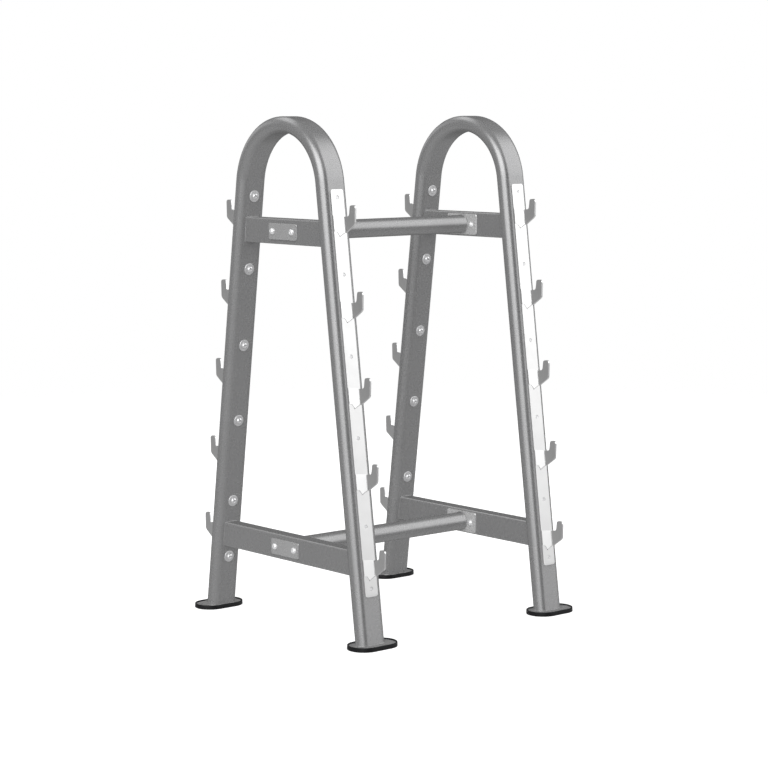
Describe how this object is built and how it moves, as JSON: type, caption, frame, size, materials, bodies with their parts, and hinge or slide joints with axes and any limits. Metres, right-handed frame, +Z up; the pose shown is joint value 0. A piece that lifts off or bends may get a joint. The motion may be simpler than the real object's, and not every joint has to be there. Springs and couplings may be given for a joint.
{
  "type": "barbell storage rack",
  "caption": "Upright two-sided rack for fixed barbells: arched flat-oval tube side frames joined by round tie tubes, with rows of hooks on the leaning legs.",
  "frame": {"origin": "on the floor, midway between the two arched side frames and between the front and back feet", "axes": "+X along the stored bars, from the left arch to the right one; +Y from the front legs to the back legs; +Z up"},
  "size_m": [0.927, 0.9, 1.614],
  "materials": {
    "silver_paint": "satin metallic silver paint",
    "plate_paint": "satin metallic silver paint, slightly lighter",
    "bright_paint": "satin light silver paint",
    "chrome_plate": "bright plated",
    "black_rubber": "matt black"
  },
  "bodies": {
    "root": {"arch_tube_left": "silver_paint", "crossbar_upper_left": "silver_paint", "tie_end_plate_upper_left": "plate_paint", "backing_plate_upper_left": "plate_paint", "tie_bolt_upper_left_front": "chrome_plate", "tie_bolt_upper_left_back": "chrome_plate", "crossbar_lower_left": "silver_paint", "tie_end_plate_lower_left": "plate_paint", "backing_plate_lower_left": "plate_paint", "tie_bolt_lower_left_front": "chrome_plate", "tie_bolt_lower_left_back": "chrome_plate", "hook_strip_left_front": "bright_paint", "strip_bolt_left_front_1": "chrome_plate", "strip_bolt_left_front_2": "chrome_plate", "strip_bolt_left_front_3": "chrome_plate", "strip_bolt_left_front_4": "chrome_plate", "strip_bolt_left_front_5": "chrome_plate", "strip_bolt_left_front_6": "chrome_plate", "foot_plate_left_front": "silver_paint", "foot_pad_left_front": "black_rubber", "hook_strip_left_back": "bright_paint", "strip_bolt_left_back_1": "chrome_plate", "strip_bolt_left_back_2": "chrome_plate", "strip_bolt_left_back_3": "chrome_plate", "strip_bolt_left_back_4": "chrome_plate", "strip_bolt_left_back_5": "chrome_plate", "strip_bolt_left_back_6": "chrome_plate", "foot_plate_left_back": "silver_paint", "foot_pad_left_back": "black_rubber", "arch_tube_right": "silver_paint", "crossbar_upper_right": "silver_paint", "tie_end_plate_upper_right": "plate_paint", "backing_plate_upper_right": "plate_paint", "tie_bolt_upper_right_front": "chrome_plate", "tie_bolt_upper_right_back": "chrome_plate", "crossbar_lower_right": "silver_paint", "tie_end_plate_lower_right": "plate_paint", "backing_plate_lower_right": "plate_paint", "tie_bolt_lower_right_front": "chrome_plate", "tie_bolt_lower_right_back": "chrome_plate", "hook_strip_right_front": "bright_paint", "strip_bolt_right_front_1": "chrome_plate", "strip_bolt_right_front_2": "chrome_plate", "strip_bolt_right_front_3": "chrome_plate", "strip_bolt_right_front_4": "chrome_plate", "strip_bolt_right_front_5": "chrome_plate", "strip_bolt_right_front_6": "chrome_plate", "foot_plate_right_front": "silver_paint", "foot_pad_right_front": "black_rubber", "hook_strip_right_back": "bright_paint", "strip_bolt_right_back_1": "chrome_plate", "strip_bolt_right_back_2": "chrome_plate", "strip_bolt_right_back_3": "chrome_plate", "strip_bolt_right_back_4": "chrome_plate", "strip_bolt_right_back_5": "chrome_plate", "strip_bolt_right_back_6": "chrome_plate", "foot_plate_right_back": "silver_paint", "foot_pad_right_back": "black_rubber", "tie_tube_upper": "silver_paint", "tie_tube_lower": "silver_paint"}
  },
  "joints": []
}
